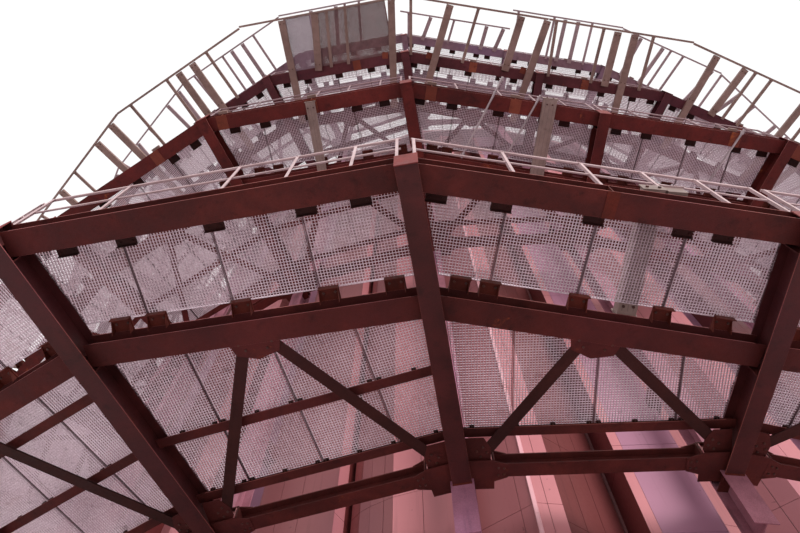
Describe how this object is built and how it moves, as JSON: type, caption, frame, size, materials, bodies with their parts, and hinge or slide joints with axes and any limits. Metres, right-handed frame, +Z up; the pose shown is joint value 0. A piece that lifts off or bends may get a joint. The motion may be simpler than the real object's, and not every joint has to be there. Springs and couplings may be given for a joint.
{
  "type": "faceted round tower with stacked steel gallery decks",
  "caption": "Faceted round tower with a panel-clad core and stacked cantilevered ring galleries of H-beams and bar grating.",
  "frame": {"origin": "centre of the core's foot, on the ground", "axes": "+Z up; -Y towards the front radial beam line"},
  "size_m": [38.2418, 37.2754, 32.646],
  "materials": {
    "oxide_steel": "red oxide primer, rust stained",
    "wall_panel": "satin pink coated panel",
    "roof_concrete": "concrete slab with grey coating",
    "rib_metal": "satin pale coating",
    "bar_grating": "galvanised steel bar grating",
    "rail_paint": "pale primer",
    "olive_steel": "olive brown paint, weathered",
    "grey_steel": "olive grey paint",
    "galvanised_rod": "galvanised"
  },
  "bodies": {
    "root": {"core_wall_1": "wall_panel", "core_wall_2": "wall_panel", "core_wall_3": "wall_panel", "core_wall_4": "wall_panel", "wall_piers": "wall_panel", "roof_slab": "roof_concrete", "roof_kerb": "rib_metal", "columns_lower": "oxide_steel", "columns_middle": "oxide_steel", "columns_upper": "oxide_steel", "wall_brackets": "oxide_steel", "t1_radial_beams": "oxide_steel", "t1_ring_beams": "oxide_steel", "t1_inner_ring": "oxide_steel", "t1_joists": "oxide_steel", "t1_plan_braces": "oxide_steel", "t1_deck": "bar_grating", "t1_handrail": "rail_paint", "t2_radial_beams": "oxide_steel", "t2_ring_beams": "oxide_steel", "t2_inner_ring": "oxide_steel", "t2_joists": "oxide_steel", "t2_plan_braces": "oxide_steel", "t2_deck": "bar_grating", "t2_handrail": "rail_paint", "t3_radial_beams": "oxide_steel", "t3_ring_beams": "oxide_steel", "t3_inner_ring": "oxide_steel", "t3_joists": "oxide_steel", "t3_plan_braces": "oxide_steel", "t3_deck": "bar_grating", "t3_handrail": "rail_paint", "t4_radial_beams": "oxide_steel", "t4_ring_beams": "oxide_steel", "t4_inner_ring": "oxide_steel", "t4_joists": "oxide_steel", "t4_plan_braces": "oxide_steel", "t4_deck": "bar_grating", "t4_handrail": "rail_paint", "t3_outriggers": "olive_steel", "t3_fan_rail": "olive_steel", "t4_outriggers": "olive_steel", "t4_fan_rail": "olive_steel", "needle_beams": "grey_steel", "tie_rods": "galvanised_rod"}
  },
  "joints": []
}
